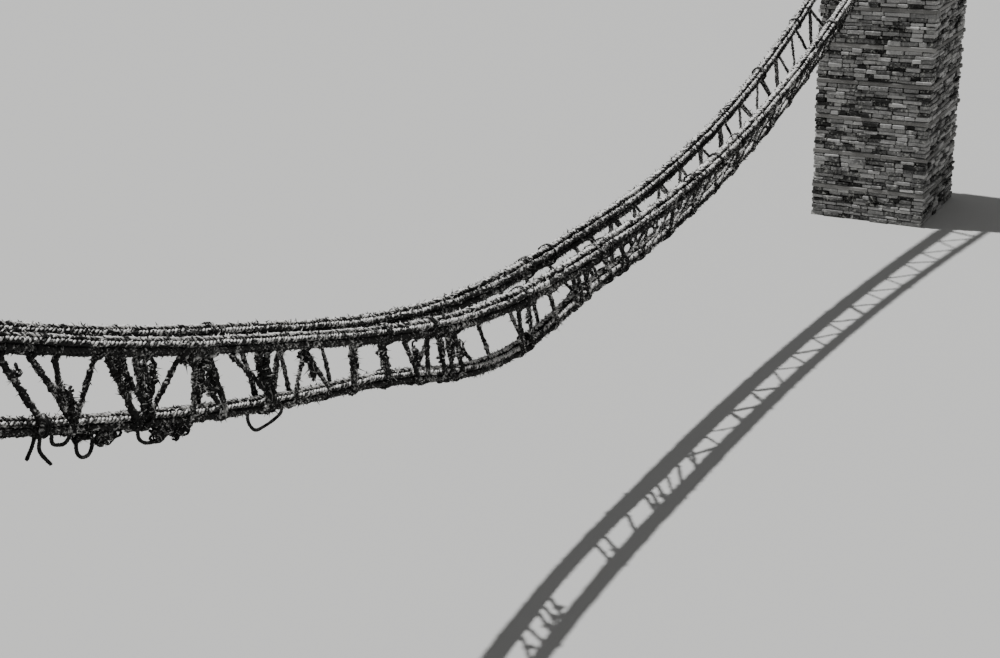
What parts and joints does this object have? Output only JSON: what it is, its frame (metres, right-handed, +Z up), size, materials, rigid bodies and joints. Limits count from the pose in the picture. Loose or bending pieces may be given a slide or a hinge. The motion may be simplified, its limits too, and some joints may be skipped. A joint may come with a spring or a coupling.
{
  "type": "rope suspension footbridge",
  "caption": "V-shaped footbridge of twisted twig rope: handrail cables and a foot cable laced together, slung between dry-stone abutments with timber courses.",
  "frame": {"origin": "on the ground under mid-span, midway between the two abutments", "axes": "+X along the bridge from the near bank to the far bank, +Y to the left of someone walking that way, +Z up"},
  "size_m": [35.024, 3.024, 8.3111],
  "materials": {
    "handrail_rope": "weathered braided twig rope, sunlit tops paler",
    "foot_rope": "weathered braided twig rope, trodden",
    "lacing_rope": "coarse twisted twig rope, bristling with ends",
    "slack_rope": "thin twisted twig rope, frayed",
    "dry_stone": "coursed flat slabs laid dry, rough and unpointed",
    "lacing_timber": "split weathered timber, grey",
    "log_wood": "peeled log, cracked and silvered"
  },
  "bodies": {
    "root": {"left_handrail_rope_1": "handrail_rope", "left_handrail_rope_2": "handrail_rope", "left_handrail_rope_3": "handrail_rope", "left_handrail_rope_4": "handrail_rope", "left_handrail_rope_5": "handrail_rope", "left_handrail_rope_6": "handrail_rope", "left_handrail_rope_7": "handrail_rope", "right_handrail_rope_1": "handrail_rope", "right_handrail_rope_2": "handrail_rope", "right_handrail_rope_3": "handrail_rope", "right_handrail_rope_4": "handrail_rope", "right_handrail_rope_5": "handrail_rope", "right_handrail_rope_6": "handrail_rope", "right_handrail_rope_7": "handrail_rope", "foot_rope_1": "foot_rope", "foot_rope_2": "foot_rope", "foot_rope_3": "foot_rope", "foot_rope_4": "foot_rope", "foot_rope_5": "foot_rope", "foot_rope_6": "foot_rope", "foot_rope_7": "foot_rope", "left_lacing_near": "lacing_rope", "left_lacing_far": "lacing_rope", "right_lacing_near": "lacing_rope", "right_lacing_far": "lacing_rope", "hanging_loop_1": "slack_rope", "hanging_loop_2": "slack_rope", "hanging_loop_3": "slack_rope", "hanging_loop_4": "slack_rope", "loose_end_1": "slack_rope", "loose_end_2": "slack_rope", "near_masonry": "dry_stone", "near_timber_course_1": "lacing_timber", "near_timber_course_2": "lacing_timber", "near_timber_course_3": "lacing_timber", "near_timber_course_4": "lacing_timber", "near_timber_course_5": "lacing_timber", "near_timber_course_6": "lacing_timber", "near_foot_saddle_log": "log_wood", "near_right_rail_saddle_log": "log_wood", "near_left_rail_saddle_log": "log_wood", "near_anchor_log": "log_wood", "far_masonry": "dry_stone", "far_timber_course_1": "lacing_timber", "far_timber_course_2": "lacing_timber", "far_timber_course_3": "lacing_timber", "far_timber_course_4": "lacing_timber", "far_timber_course_5": "lacing_timber", "far_timber_course_6": "lacing_timber", "far_foot_saddle_log": "log_wood", "far_left_rail_saddle_log": "log_wood", "far_right_rail_saddle_log": "log_wood", "far_anchor_log": "log_wood"}
  },
  "joints": []
}
